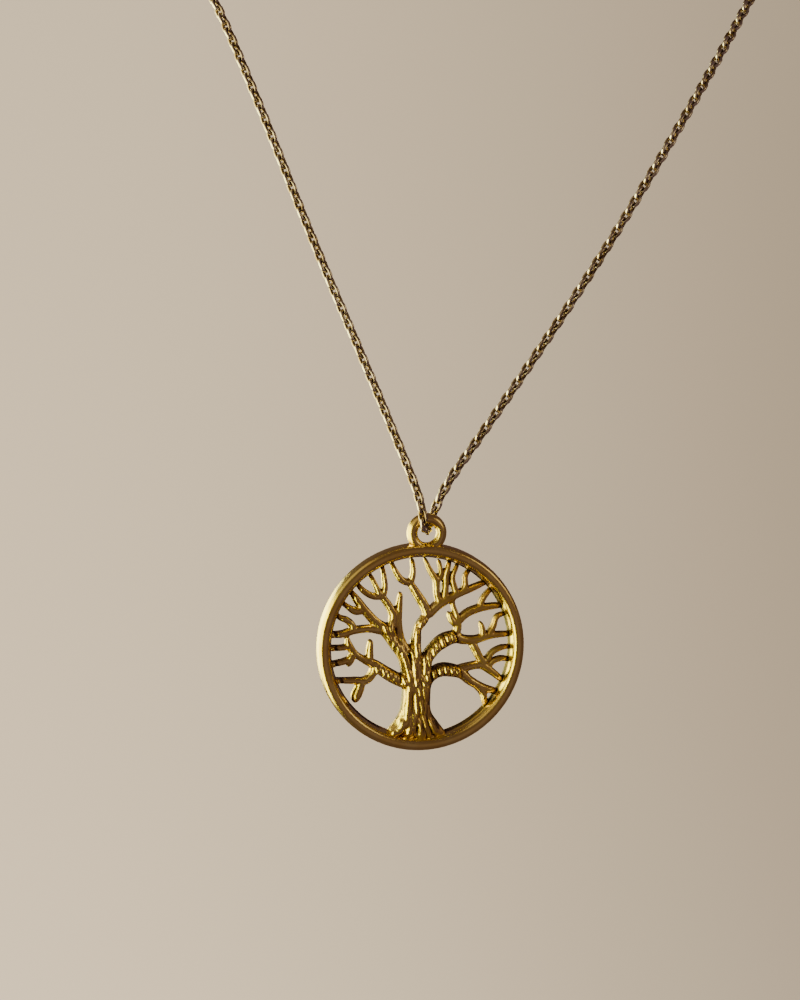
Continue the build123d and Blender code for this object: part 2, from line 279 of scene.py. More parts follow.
# Stems of the tree, as shares of the disc's radius, from root to tip: to the right of the disc's middle,
# above it, and half the stem's width
stems = {
    # across, up, half
    "leftLimb": [
        (-0.245, -0.895, 0.050), (-0.205, -0.840, 0.058), (-0.150, -0.775, 0.065),
        (-0.105, -0.660, 0.055), (-0.090, -0.500, 0.055), (-0.100, -0.330, 0.055),
        (-0.140, -0.180, 0.050), (-0.170, -0.100, 0.050), (-0.250, 0.010, 0.055),
        (-0.335, 0.130, 0.065), (-0.440, 0.205, 0.050), (-0.560, 0.320, 0.045),
        (-0.660, 0.435, 0.040), (-0.730, 0.520, 0.022),
    ],
    "centreLimb": [
        (-0.070, -0.920, 0.072), (-0.045, -0.720, 0.060), (-0.020, -0.500, 0.060),
        (-0.030, -0.280, 0.065), (-0.050, -0.100, 0.060), (-0.050, 0.080, 0.050),
        (-0.035, 0.200, 0.040), (-0.005, 0.240, 0.045), (0.035, 0.310, 0.048),
    ],
    "rightLimb": [
        (0.060, -0.925, 0.068), (0.050, -0.700, 0.058), (0.050, -0.500, 0.060),
        (0.055, -0.300, 0.065), (0.060, -0.120, 0.060), (0.130, -0.010, 0.060),
        (0.215, 0.065, 0.070), (0.310, 0.105, 0.062), (0.420, 0.085, 0.048),
        (0.540, 0.095, 0.042), (0.660, 0.135, 0.038), (0.880, 0.165, 0.028),
    ],
    "lowRightLimb": [
        (0.300, -0.880, 0.052), (0.170, -0.755, 0.065), (0.105, -0.640, 0.050),
        (0.085, -0.480, 0.045), (0.095, -0.320, 0.050), (0.200, -0.220, 0.065),
        (0.310, -0.215, 0.065), (0.420, -0.245, 0.054), (0.500, -0.305, 0.048),
        (0.620, -0.365, 0.042), (0.800, -0.410, 0.032),
    ],
    "rootMiddle": [
        (0.190, -0.930, 0.038), (0.120, -0.780, 0.050), (0.080, -0.660, 0.040),
    ],
    "leftLimbSpur": [
        (-0.570, 0.330, 0.040), (-0.660, 0.315, 0.040), (-0.730, 0.350, 0.030),
        (-0.800, 0.400, 0.025),
    ],
    "leftArm": [
        (-0.360, 0.130, 0.045), (-0.500, 0.150, 0.040), (-0.650, 0.130, 0.040),
        (-0.780, 0.085, 0.038), (-0.930, 0.080, 0.032),
    ],
    "leftArmTwig": [
        (-0.660, 0.100, 0.040), (-0.680, 0.180, 0.038), (-0.735, 0.225, 0.035),
        (-0.800, 0.245, 0.030), (-0.860, 0.300, 0.024),
    ],
    "innerLeftLimb": [
        (-0.270, 0.050, 0.045), (-0.295, 0.190, 0.045), (-0.295, 0.300, 0.042),
        (-0.345, 0.390, 0.040), (-0.420, 0.475, 0.036),
    ],
    "innerLeftFork": [
        (-0.425, 0.455, 0.032), (-0.465, 0.540, 0.030), (-0.560, 0.700, 0.020),
    ],
    "innerLeftDrop": [
        (-0.410, 0.460, 0.032), (-0.500, 0.465, 0.034), (-0.590, 0.510, 0.032),
        (-0.685, 0.610, 0.020),
    ],
    "innerLeftTop": [
        (-0.400, 0.460, 0.030), (-0.390, 0.560, 0.030), (-0.405, 0.650, 0.028),
        (-0.435, 0.780, 0.020),
    ],
    "budLimb": [
        (-0.120, -0.060, 0.045), (-0.195, 0.050, 0.045), (-0.235, 0.200, 0.042),
        (-0.240, 0.380, 0.035), (-0.235, 0.520, 0.024),
    ],
    "longLimb": [
        (0.050, 0.270, 0.042), (0.010, 0.385, 0.048), (-0.070, 0.500, 0.045),
        (-0.155, 0.615, 0.036),
    ],
    "longLimbTop": [
        (-0.150, 0.590, 0.034), (-0.130, 0.700, 0.030), (-0.150, 0.850, 0.022),
    ],
    "longLimbLeft": [
        (-0.140, 0.600, 0.034), (-0.235, 0.635, 0.036), (-0.300, 0.715, 0.030),
        (-0.360, 0.830, 0.020),
    ],
    "upperLimb": [
        (0.030, 0.290, 0.048), (0.120, 0.395, 0.048), (0.220, 0.470, 0.048),
        (0.330, 0.530, 0.040), (0.450, 0.585, 0.036), (0.560, 0.640, 0.030),
        (0.650, 0.680, 0.025),
    ],
    "topLimb": [
        (0.160, 0.400, 0.036), (0.115, 0.520, 0.034), (0.095, 0.650, 0.036),
        (0.030, 0.745, 0.030), (-0.030, 0.860, 0.020),
    ],
    "topLimbTwig": [
        (0.100, 0.610, 0.030), (0.135, 0.700, 0.026), (0.110, 0.850, 0.022),
    ],
    "crownLimb": [
        (0.190, 0.440, 0.036), (0.195, 0.560, 0.036), (0.190, 0.690, 0.034),
        (0.220, 0.850, 0.024),
    ],
    "crownTwig": [
        (0.320, 0.510, 0.034), (0.280, 0.590, 0.034), (0.255, 0.670, 0.030),
        (0.300, 0.820, 0.022),
    ],
    "crownOuterTwig": [
        (0.350, 0.530, 0.034), (0.385, 0.610, 0.032), (0.380, 0.700, 0.028),
        (0.430, 0.780, 0.022),
    ],
    "rightLimbTwig": [
        (0.320, 0.100, 0.045), (0.345, 0.210, 0.040), (0.325, 0.310, 0.032),
        (0.275, 0.450, 0.026), (0.290, 0.540, 0.024),
    ],
    "rightLimbBud": [
        (0.335, 0.220, 0.036), (0.280, 0.270, 0.034), (0.245, 0.350, 0.026),
    ],
    "upperRightLimb": [
        (0.330, 0.240, 0.038), (0.420, 0.340, 0.042), (0.520, 0.390, 0.042),
        (0.650, 0.420, 0.036), (0.790, 0.440, 0.028),
    ],
    "upperRightTwig": [
        (0.540, 0.390, 0.032), (0.570, 0.490, 0.030), (0.660, 0.610, 0.024),
    ],
    "rightArmTwig": [
        (0.600, 0.110, 0.034), (0.590, 0.190, 0.032), (0.560, 0.270, 0.024),
    ],
    "rightArmFork": [
        (0.640, 0.130, 0.032), (0.690, 0.220, 0.032), (0.720, 0.320, 0.028),
        (0.840, 0.370, 0.022),
    ],
    "rightHook": [
        (0.480, 0.080, 0.040), (0.535, 0.000, 0.042), (0.585, -0.080, 0.040),
        (0.660, -0.150, 0.036),
    ],
    "rightHookTwig": [
        (0.640, -0.120, 0.032), (0.710, -0.020, 0.030), (0.790, 0.025, 0.028),
        (0.890, 0.040, 0.024),
    ],
    "lowRightUpper": [
        (0.360, -0.220, 0.050), (0.480, -0.175, 0.042), (0.600, -0.155, 0.042),
        (0.700, -0.205, 0.040), (0.850, -0.310, 0.030),
    ],
    "lowRightTwig": [
        (0.660, -0.180, 0.034), (0.720, -0.110, 0.032), (0.800, -0.080, 0.030),
        (0.890, -0.090, 0.026),
    ],
    "lowRightDrop": [
        (0.560, -0.340, 0.040), (0.640, -0.420, 0.038), (0.670, -0.500, 0.034),
        (0.710, -0.600, 0.030),
    ],
    "lowLeftLimb": [
        (-0.080, -0.370, 0.055), (-0.200, -0.325, 0.062), (-0.320, -0.265, 0.060),
        (-0.430, -0.195, 0.050), (-0.540, -0.150, 0.038), (-0.635, -0.090, 0.036),
        (-0.695, -0.015, 0.040), (-0.722, 0.075, 0.018),
    ],
    "lowLeftSpur": [
        (-0.480, -0.170, 0.040), (-0.490, -0.080, 0.038), (-0.490, 0.050, 0.028),
    ],
    "lowLeftHook": [
        (-0.430, -0.180, 0.045), (-0.445, -0.270, 0.044), (-0.500, -0.345, 0.042),
        (-0.620, -0.355, 0.036), (-0.860, -0.362, 0.030),
    ],
    "lowLeftLeaf": [
        (-0.545, -0.340, 0.040), (-0.565, -0.430, 0.050), (-0.590, -0.500, 0.052),
        (-0.600, -0.570, 0.030),
    ],
    "lowLeftBud": [
        (-0.650, -0.080, 0.030), (-0.668, -0.145, 0.042), (-0.690, -0.225, 0.020),
    ],
    "leftRungUpper": [
        (-0.690, -0.030, 0.032), (-0.770, -0.045, 0.032), (-0.920, -0.050, 0.030),
    ],
    "leftRungLower": [
        (-0.670, -0.150, 0.034), (-0.760, -0.185, 0.034), (-0.905, -0.215, 0.030),
    ],
}

# Section of a stem, round the outside: how far to the side, up the wall and up the relief
stemSection = np.array([
    # side, wall, relief
    (-0.80, 0.00, 0.00), (0.80, 0.00, 0.00), (0.96, 0.12, 0.00), (1.00, 0.40, 0.00), (1.00, 0.75, 0.02),
    (0.97, 0.95, 0.16), (0.88, 1.00, 0.40), (0.70, 1.00, 0.76), (0.42, 1.00, 1.03), (0.00, 1.00, 1.10),
    (-0.42, 1.00, 1.03), (-0.70, 1.00, 0.76), (-0.88, 1.00, 0.40), (-0.97, 0.95, 0.16), (-1.00, 0.75, 0.02),
    (-1.00, 0.40, 0.00), (-0.96, 0.12, 0.00),
])

# Section of the rim, as shares of its width and depth, from the inner wall outwards
rimSection = np.array([
    # across, depth
    (0.08, 0.00), (0.50, 0.00), (0.90, 0.00), (0.98, 0.05), (1.00, 0.20), (1.00, 0.42), (0.98, 0.66),
    (0.93, 0.86), (0.82, 0.97), (0.64, 1.00), (0.46, 1.00), (0.32, 0.93), (0.20, 0.74), (0.10, 0.42),
    (0.02, 0.10),
])

# Section of the eye's ring, as shares of its width and half its depth, from the hole outwards
eyeSection = np.array([
    # across, depth
    (0.00, -0.20), (0.12, -0.72), (0.50, -1.00), (0.86, -0.72), (1.00, -0.10),
    (0.96, 0.36), (0.80, 0.80), (0.50, 1.00), (0.16, 0.80), (0.00, 0.30),
])

# Bark: lens-shaped ridges cast on the trunk and the thick limbs, from end to end
ridges = {
    # half width, height in mm, then (across, up) to (across, up) of each
    "lowLeftLimb": (0.024, 0.26, [
        (-0.405, -0.225, -0.380, -0.300), (-0.345, -0.225, -0.328, -0.325), (-0.300, -0.240, -0.280, -0.345),
        (-0.258, -0.262, -0.222, -0.378), (-0.218, -0.285, -0.188, -0.385), (-0.178, -0.345, -0.150, -0.420),
        (-0.160, -0.275, -0.120, -0.385),
    ]),
    "lowRightLimb": (0.024, 0.26, [
        (0.068, -0.240, 0.095, -0.320), (0.130, -0.205, 0.160, -0.300), (0.192, -0.180, 0.222, -0.290),
        (0.250, -0.165, 0.280, -0.280), (0.312, -0.180, 0.338, -0.280), (0.368, -0.195, 0.395, -0.300),
    ]),
    "rightLimb": (0.024, 0.26, [
        (0.105, 0.015, 0.148, -0.090), (0.135, 0.065, 0.175, -0.030), (0.172, 0.130, 0.228, 0.000),
        (0.230, 0.155, 0.275, 0.045), (0.272, 0.190, 0.330, 0.035),
    ]),
    "leftLimb": (0.024, 0.24, [
        (-0.375, 0.205, -0.335, 0.090), (-0.345, 0.110, -0.300, 0.035), (-0.325, 0.225, -0.285, 0.130),
        (-0.285, 0.070, -0.255, -0.010), (-0.245, 0.040, -0.205, -0.060), (-0.200, 0.050, -0.168, -0.120),
        (-0.168, -0.100, -0.125, -0.210), (-0.130, -0.200, -0.100, -0.300),
    ]),
    "trunkLeft": (0.026, 0.26, [
        (-0.160, -0.020, -0.125, -0.100), (-0.115, -0.035, -0.080, -0.110), (-0.138, -0.090, -0.098, -0.210),
        (-0.082, -0.110, -0.055, -0.240), (-0.062, -0.200, -0.048, -0.320), (-0.110, -0.220, -0.085, -0.350),
        (-0.075, -0.340, -0.045, -0.440), (-0.115, -0.330, -0.085, -0.440), (-0.040, -0.300, -0.020, -0.380),
    ]),
    "trunkFace": (0.040, 0.30, [
        (-0.110, -0.400, -0.098, -0.570), (-0.105, -0.560, -0.090, -0.680), (-0.080, -0.650, -0.085, -0.780),
        (-0.130, -0.700, -0.140, -0.800), (-0.060, -0.760, -0.070, -0.860), (-0.200, -0.810, -0.225, -0.870),
        (-0.150, -0.790, -0.160, -0.860),
    ]),
    "trunkRight": (0.020, 0.20, [
        (0.000, -0.040, 0.035, -0.120), (0.035, -0.110, 0.050, -0.260), (0.065, -0.065, 0.102, -0.180),
        (0.020, -0.270, 0.060, -0.370), (-0.005, -0.360, 0.030, -0.480), (0.040, -0.370, 0.075, -0.500),
        (-0.040, -0.400, -0.015, -0.520), (0.080, -0.360, 0.095, -0.500), (-0.020, -0.500, 0.010, -0.650),
        (0.030, -0.500, 0.050, -0.620), (0.075, -0.520, 0.085, -0.640), (0.105, -0.540, 0.115, -0.660),
        (0.000, -0.660, 0.060, -0.830), (0.070, -0.660, 0.140, -0.860), (-0.040, -0.640, -0.010, -0.760),
        (-0.020, -0.760, 0.015, -0.870), (0.120, -0.680, 0.200, -0.830), (0.170, -0.860, 0.195, -0.930),
        (0.110, -0.760, 0.150, -0.880),
    ]),
    "centreLimb": (0.036, 0.30, [
        (-0.068, 0.190, -0.050, 0.020), (-0.050, 0.040, -0.020, -0.080), (-0.030, 0.270, 0.000, 0.185),
        (0.005, 0.200, 0.032, 0.150),
    ]),
}

# The left twigs end in short teeth on the rim's inner slope, given in the same way
teeth = (0.026, 0.50, [
    (-0.890, 0.125, -0.858, 0.045), (-0.872, -0.008, -0.852, -0.088), (-0.856, -0.165, -0.830, -0.245),
    (-0.806, -0.305, -0.772, -0.392),
])


def stemSurface(rows):
    # Profile carried along a path: a section stands across the stem's line at each step. Its points lie at
    # half width x side share, and at back + wall x wall share + relief x relief share. The half width
    # follows a quarter circle into both ends and is up to an eighth less on thin twigs. The relief is
    # deepest x (half width / widest)^0.75. The crest leans away from the viewer's left: side share
    # - lean x (1 - side share^2) x how far the stem's left side faces there.
    line = throughPoints(np.array(rows) * charm["radius"], charm["stemStep"])
    run = np.gradient(line[:, :2], axis=0)
    run /= np.linalg.norm(run, axis=1)[:, None]
    gone = np.concatenate([[0.0], np.cumsum(np.linalg.norm(np.diff(line[:, :2], axis=0), axis=1))])
    nearest = np.minimum(gone, gone[-1] - gone) / (charm["stemEnd"] * line[:, 2])
    half = line[:, 2] * np.sqrt(1.0 - (1.0 - np.clip(nearest, 0.02, 1.0)) ** 2)
    half *= np.interp(line[:, 2], *charm["slimmer"])
    side, wall, relief = stemSection.T
    share = half / (charm["widestHalf"] * charm["radius"])
    tall = charm["deepestRelief"] * share ** charm["reliefPower"]
    left = np.stack([-run[:, 1], run[:, 0]], axis=1) @ charm["leanFrom"]
    away = half[:, None] * (side - charm["crestLean"] * (1.0 - side**2) * left[:, None])
    x = line[:, :1] - run[:, 1:] * away
    y = line[:, 1:2] + run[:, :1] * away
    back = charm["treeRecess"] - charm["rimDepth"] / 2
    z = back + charm["stemWall"] * wall + tall[:, None] * relief
    points = np.stack([x, y, z], axis=-1).reshape(-1, 3)
    faces = gridFaces(len(line), len(side), False, True)
    last = (len(line) - 1) * len(side)
    return points, faces + [list(range(len(side) - 1, -1, -1)), list(range(last, last + len(side)))]


def roundSection(corners, count):
    # a closed curve through the corners, the same cubic pieces as the stems
    wrapped = np.concatenate([corners[-3:], corners, corners[:3]])
    marks = np.concatenate([[0.0], np.cumsum(np.linalg.norm(np.diff(wrapped, axis=0), axis=1))])
    slopes = np.gradient(wrapped, marks, axis=0)
    wanted = np.linspace(marks[3], marks[3 + len(corners)], count, endpoint=False)
    n = np.searchsorted(marks, wanted, side="right") - 1
    gap = (marks[n + 1] - marks[n])[:, None]
    u = (wanted - marks[n])[:, None] / gap
    start = (2 * u**3 - 3 * u**2 + 1) * wrapped[n] + (u**3 - 2 * u**2 + u) * gap * slopes[n]
    return start + (3 * u**2 - 2 * u**3) * wrapped[n + 1] + (u**3 - u**2) * gap * slopes[n + 1]


def ringSurface(section, steps, middle):
    # A section of (radius, height) points turned about the middle: x = middle x + radius x cos(angle),
    # y = middle y + radius x sin(angle), z = height
    angle = np.linspace(0, 2 * math.pi, steps, endpoint=False)[:, None]
    radius, height = section.T
    x = middle[0] + radius * np.cos(angle)
    y = middle[1] + radius * np.sin(angle)
    z = height + 0 * angle
    return np.stack([x, y, z], axis=-1).reshape(-1, 3), gridFaces(steps, len(section), True, True)


def meshArrays(mesh):
    points = np.empty(len(mesh.vertices) * 3)
    mesh.vertices.foreach_get("co", points)
    edges = np.empty(len(mesh.edges) * 2, dtype=np.int32)
    mesh.edges.foreach_get("vertices", edges)
    return points.reshape(-1, 3), edges.reshape(-1, 2)


def evened(points, edges, rounds, share):
    # In each round every point goes its share of the way to the middle of its neighbours
    count = len(points)
    near = np.maximum(np.bincount(edges.ravel(), minlength=count), 1)[:, None]
    for _ in range(rounds):
        total = np.stack([
            np.bincount(edges[:, 0], points[edges[:, 1], axis], count)
            + np.bincount(edges[:, 1], points[edges[:, 0], axis], count)
            for axis in range(3)
        ], axis=1)
        points = points + share * (total / near - points)
    return points


def ridgeHeight(places, groups):
    # Each ridge is half an ellipse across and tapers to both ends: height x sqrt(1 - (off / half)^2)
    # x (1 - 0.6 x |2 x along - 1|^4). The tallest ridge at a place counts.
    tallest = np.zeros(len(places))
    for half, height, lines in groups:
        ends = np.array(lines) * charm["radius"]
        first, run = ends[:, :2], ends[:, 2:] - ends[:, :2]
        length = (run**2).sum(axis=1)
        along = np.einsum("nmk,mk->nm", places[:, None] - first, run) / length
        held = np.clip(along, 0.0, 1.0)
        gap = places[:, None] - first - held[..., None] * run
        off = np.sqrt((gap**2).sum(axis=2)) / (half * charm["radius"])
        taper = 1.0 - 0.6 * np.abs(2.0 * held - 1.0) ** 4
        bump = height * np.sqrt(np.clip(1.0 - off**2, 0.0, 1.0)) * taper
        tallest = np.maximum(tallest, bump.max(axis=1))
    return tallest


def trunkHeight(places):
    # The trunk as a whole is a shallow half round: height x sqrt(1 - (off / half)^2). It dies away where
    # the limbs part and where the roots meet the rim.
    x, y = (places / charm["radius"]).T
    off = (x - np.interp(y, *charm["trunkMiddle"])) / np.interp(y, *charm["trunkHalf"])
    dome = np.sqrt(np.clip(1.0 - off**2, 0.0, 1.0))
    return charm["trunkRound"] * dome * np.interp(y, *charm["trunkFade"])


def withModifier(made, kind, settings):
    # the object's mesh after one modifier
    modifier = made.modifiers.new("step", kind)
    for name, given in settings.items():
        setattr(modifier, name, given)
    done = bpy.data.meshes.new_from_object(made.evaluated_get(bpy.context.evaluated_depsgraph_get()))
    made.modifiers.clear()
    made.data = done
    return made


def loose(name, points, faces):
    # an object in whole millimetres, for the steps before the charm is put in its place
    mesh = bpy.data.meshes.new(name)
    mesh.from_pydata(points.tolist(), [], faces)
    made = bpy.data.objects.new(name, mesh)
    bpy.context.scene.collection.objects.link(made)
    return made


def makeCharm():
    groups = [stemSurface(rows) for rows in stems.values()]
    points = np.concatenate([p for p, _ in groups])
    starts = np.cumsum([0] + [len(p) for p, _ in groups])
    faces = [[corner + start for corner in face] for (_, fs), start in zip(groups, starts) for face in fs]
    tree = loose("tree", points, faces)
    withModifier(tree, "REMESH", {"mode": "VOXEL", "voxel_size": charm["voxel"], "adaptivity": 0.0})
    points, edges = meshArrays(tree.data)
    points = evened(points, edges, charm["smoothing"], 0.5)
    # relief is added to the stems' tops and leaves their walls upright
    top = charm["treeRecess"] - charm["rimDepth"] / 2 + charm["stemWall"] * charm["riseFrom"]
    rise = ramp(points[:, 2], top, top + charm["riseOver"])
    tooth = ridgeHeight(points[:, :2], [teeth])
    points[:, 2] += (ridgeHeight(points[:, :2], ridges.values()) + trunkHeight(points[:, :2]) + tooth) * rise
    # the twigs sink towards the rim's inner wall, but the roots and the teeth don't
    reach = np.hypot(points[:, 0], points[:, 1])
    sink = ramp(reach, *charm["sink"]) * (points[:, 1] > charm["rootSlope"] * reach) * (tooth < 0.1)
    points[:, 2] -= charm["sinkDepth"] * sink * rise
    points = evened(points, edges, 1, 0.3)
    tree.data.vertices.foreach_set("co", points.ravel())
    print("tree:", len(points), "points")
    inner = charm["radius"] - charm["rimWidth"]
    section = roundSection(rimSection * (charm["rimWidth"], charm["rimDepth"]), charm["rimCorners"])
    section += (inner, -charm["rimDepth"] / 2)
    rim = loose("rim", *ringSurface(section, charm["rimSteps"], (0.0, 0.0)))
    section = roundSection(eyeSection * (charm["eyeRing"], charm["eyeDepth"] / 2), charm["eyeCorners"])
    section += (charm["eyeHole"], 0.0)
    eye = loose("eye", *ringSurface(section, charm["eyeSteps"], charmPlace["eyeMiddle"]))
    for other in (rim, eye):
        withModifier(tree, "BOOLEAN", {"operation": "UNION", "solver": "MANIFOLD", "object": other})
        bpy.data.objects.remove(other)
    print("casting:", len(tree.data.vertices), "points,", len(tree.data.polygons), "faces")
    finishCharm(tree)
    return tree


def dropBelow(heights, edges, rounds):
    # how far each point lies below the highest point within that many edges of it
    top = heights.copy()
    for _ in range(rounds):
        last = top.copy()
        np.maximum.at(top, edges[:, 0], last[edges[:, 1]])
        np.maximum.at(top, edges[:, 1], last[edges[:, 0]])
    return top - heights


# Where the casting is rubbed bright, and where light and shade are painted into it: painted highlights on
# the left flanks and the trunk's left face, painted shade on the upper right twigs and the foot's right
# side. Each pair says where a mask is 0 and where it is 1, in mm, or in shares of the radius where it goes
# across or up.
wearAndLightMarks = {
    "seam": (10.4, 11.8),  # the tree's joint with the rim is evened between these distances
    "fine": (-0.03, 0.03),  # how far a point stands out from its neighbours
    "crest": (0.36, 0.20),  # how far a point lies below the nearest crest
    "paintedLightLeftFlank": 0.16,  # painted highlight: the gold goes this much further down on the left flanks, which face the light
    # painted highlight: the trunk's lower left face, which faces the light, is gold all over
    "paintedLightFaceAcross": (-0.05, -0.07),
    "paintedLightFaceUp": (-0.40, -0.50),
    "rootsAcross": (0.36, 0.30),
    "deep": (0.35, -0.15),  # height on the rim's inner wall
    "deepWithin": 11.9,
    "rim": (10.6, 10.9),
    "tooth": (0.0, 0.3),
    "toothAbove": 0.2,
    # painted shade: the upper right twigs are made darker
    "upperRightShadeWay": (0.8, 0.6),
    "upperRightShade": (0.25, 0.75),
    "upperRightShadeDepth": 0.50,
    # painted shade: the right side of the trunk's foot is made darker
    "footShadeAcross": (0.01, 0.05),
    "footShadeUp": (-0.30, -0.50),
    "footShadeUpTo": 0.35,
    "footShadeReach": (11.3, 10.8),
    "footShadeDepth": 0.40,
}


def finishCharm(tree):
    # The stored mark is 1 on the tree's crests and fades within the fall of a bark ridge below them. It goes
    # further down on the left flanks, which face the light, as a painted highlight. The trunk's lower left
    # face is a painted highlight, gold all over. The teeth and the rim are rubbed all over, but the deep
    # half of the rim's inner wall is dark except behind the roots. The upper right twigs and the foot's
    # right side are darker as painted shade.
    points, edges = meshArrays(tree.data)
    reach = np.hypot(points[:, 0], points[:, 1])
    seam = ((reach > wearAndLightMarks["seam"][0]) & (reach < wearAndLightMarks["seam"][1]))[:, None]
    points = np.where(seam, evened(points, edges, 2, 0.4), points)
    tree.data.vertices.foreach_set("co", points.ravel())
    tree.data.update()
    normals = np.empty(len(points) * 3)
    tree.data.vertex_normals.foreach_get("vector", normals)
    normals = normals.reshape(-1, 3)
    fine = ((points - evened(points, edges, 5, 0.5)) * normals).sum(axis=1)
    x, y = (points[:, :2] / charm["radius"]).T
    z = points[:, 2]
    # painted highlight: on flanks that face left, towards the key light, the gold reaches further down
    drop = dropBelow(z, edges, 5) - wearAndLightMarks["paintedLightLeftFlank"] * np.clip(-1.2 * normals[:, 0], 0.0, 1.0)
    wearAndPaintedLight = ramp(drop, *wearAndLightMarks["crest"])
    # painted highlight on the trunk's lower left face
    face = ramp(x, *wearAndLightMarks["paintedLightFaceAcross"]) * ramp(y, *wearAndLightMarks["paintedLightFaceUp"]) * (normals[:, 2] > 0.3)
    roots = ramp(np.abs(x), *wearAndLightMarks["rootsAcross"]) * (y < 0.0)
    deep = ramp(z, *wearAndLightMarks["deep"]) * (reach < wearAndLightMarks["deepWithin"]) * (1.0 - roots)
    edge = ramp(reach, *wearAndLightMarks["rim"])
    tooth = ramp(ridgeHeight(points[:, :2], [teeth]), *wearAndLightMarks["tooth"]) * (z > wearAndLightMarks["toothAbove"])
    rubbedAndPaintedLight = np.maximum(wearAndPaintedLight, face) * (1.0 - edge) + (1.0 - deep) * edge
    rubbedAndPaintedLight = np.maximum(rubbedAndPaintedLight, tooth)
    # painted shade: the upper right twigs are made darker
    upperRightShade = ramp(wearAndLightMarks["upperRightShadeWay"][0] * x + wearAndLightMarks["upperRightShadeWay"][1] * y, *wearAndLightMarks["upperRightShade"]) * (1.0 - edge)
    # painted shade: the right side of the trunk's foot is made darker
    footShade = ramp(x, *wearAndLightMarks["footShadeAcross"]) * ramp(y, *wearAndLightMarks["footShadeUp"]) * (x < wearAndLightMarks["footShadeUpTo"])
    rubbedAndPaintedLight -= wearAndLightMarks["upperRightShadeDepth"] * upperRightShade + wearAndLightMarks["footShadeDepth"] * footShade * ramp(reach, *wearAndLightMarks["footShadeReach"])
    marks = {"rim": edge, "fineCrest": ramp(fine, *wearAndLightMarks["fine"]), "wearAndPaintedLight": rubbedAndPaintedLight}
    for name, given in marks.items():
        store = tree.data.attributes.new(name, "FLOAT", "POINT")
        store.data.foreach_set("value", given.astype(np.float32))
    # the charm's own x, y, z are the world's x, z, -y
    middle = np.array(charmPlace["discMiddle"])
    placed = np.stack([points[:, 0], -points[:, 2], points[:, 1]], axis=1) + middle
    tree.data.vertices.foreach_set("co", (placed * millimetre).ravel())
    tree.data.update()
    tree.data.polygons.foreach_set("use_smooth", np.full(len(tree.data.polygons), True))
    tree.data.set_sharp_from_angle(angle=math.radians(charm["sharpFrom"]))
    tree.name = "charm"


def antiqueGold():
    # Dark patina in the hollows and on the walls, bronze half way up and worn gold on the crests. The mark
    # that sets them also holds painted highlights on the left flanks and the trunk's left face, and painted
    # shade on the upper right twigs and the foot's right side.
    # Roughness falls from the patina to the worn crests, and the metal shows less under the patina.
    f = Finish("antiqueGold")
    place = f.place()
    fine = f.attribute("fineCrest")
    cloud = f.noise(place, 0.35, 3.0, 0.6)
    grain = f.noise(place, 2.6, 3.0, 0.6)
    # the stored mark: wear together with painted highlights and painted shade
    wearAndPaintedLight = f.attribute("wearAndPaintedLight") - 0.5 * (1.0 - fine.between(0.20, 0.50)) + (cloud - 0.5) * 0.3
    share = (wearAndPaintedLight + (grain - 0.5) * 0.2).clamped()
    gold = f.blend(cloud.between(0.35, 0.65), *charm["gold"])
    patina = f.blend(grain.between(0.4, 0.6), *charm["patina"])
    bronze = f.blend(share.between(0.0, 0.5), patina, charm["bronze"])
    colour = f.blend(share.between(0.4, 1.0), bronze, gold)
    rough = 0.46 - 0.21 * share + (grain - 0.5) * 0.06
    hammered = f.noise(f.stretched(place, (0.0, math.radians(20), 0.0), (1.0, 1.0, 0.45)), 1.8, 2.0, 0.5)
    pits = f.relief(grain, 0.015, 0.4)
    relief = f.relief(hammered * (1.0 - 0.8 * f.attribute("rim")), 0.10, 0.9, pits)
    return f.done({
        "Base Color": colour, "Metallic": 0.5 + 0.5 * share, "Roughness": rough, "Normal": relief,
    })


casting = makeCharm()
casting.data.materials.clear()
casting.data.materials.append(antiqueGold())
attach(casting, "charm")
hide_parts("pendant")
print("charm made")


# Fine cable chain: stadium-shaped links, each hooked in the next and turned a quarter
chain = {
    "linkLength": 2.04,
    "linkWidth": 1.40,
    "wire": 0.47,
    "pitch": 1.1,
    "aroundWire": 5,
    "endRing": 2.2,
    "endWire": 0.40,
    "endRingAt": 5.925,
    "endRingSteps": (28, 8),
    "firstLinkAt": 7.17,
    "claspEnd": 6.0,
    "claspHeight": 1.3,
    "turning": 60,  # links from each end that turn from the clasp's way to the view's
    "eye": (-0.55, -102.0, -129.5),
    "bright": ((0.88, 0.80, 0.60), (0.58, 0.47, 0.28)),
    # painted shade on the links' inner sides, between the links
    "linkInnerShade": (0.27, 0.19, 0.10),
}

# The chain's line from the left end of the clasp, through the eye, to its right end
chainLine = [
    (-6.0, 0.0, 1.3), (-14.0, 0.0, 1.3), (-29.5, -3.5, -1.5), (-44.5, -13.0, -9.5), (-51.5, -27.5, -20.0),
    (-49.5, -43.0, -31.0), (-42.5, -58.0, -42.5), (-34.8, -71.0, -55.0), (-27.9, -82.7, -68.2),
    (-22.1, -91.8, -82.0), (-15.9, -95.6, -96.0), (-8.6, -98.9, -110.9), (-4.2, -101.6, -120.3),
    (-1.8, -103.95, -125.9), (-0.92, -103.75, -129.75), (-0.45, -102.0, -129.59), (-0.05, -100.3, -129.73),
    (1.65, -100.3, -124.6), (5.6, -99.1, -118.8), (11.3, -97.7, -110.0), (19.4, -97.1, -96.2),
    (28.6, -93.4, -80.3), (38.0, -84.5, -65.8), (46.8, -73.5, -53.0), (53.5, -60.0, -41.5),
    (57.5, -44.5, -30.5), (56.5, -28.0, -19.5), (47.0, -13.0, -9.5), (30.5, -3.5, -1.5), (14.0, 0.0, 1.3),
    (6.0, 0.0, 1.3),
]


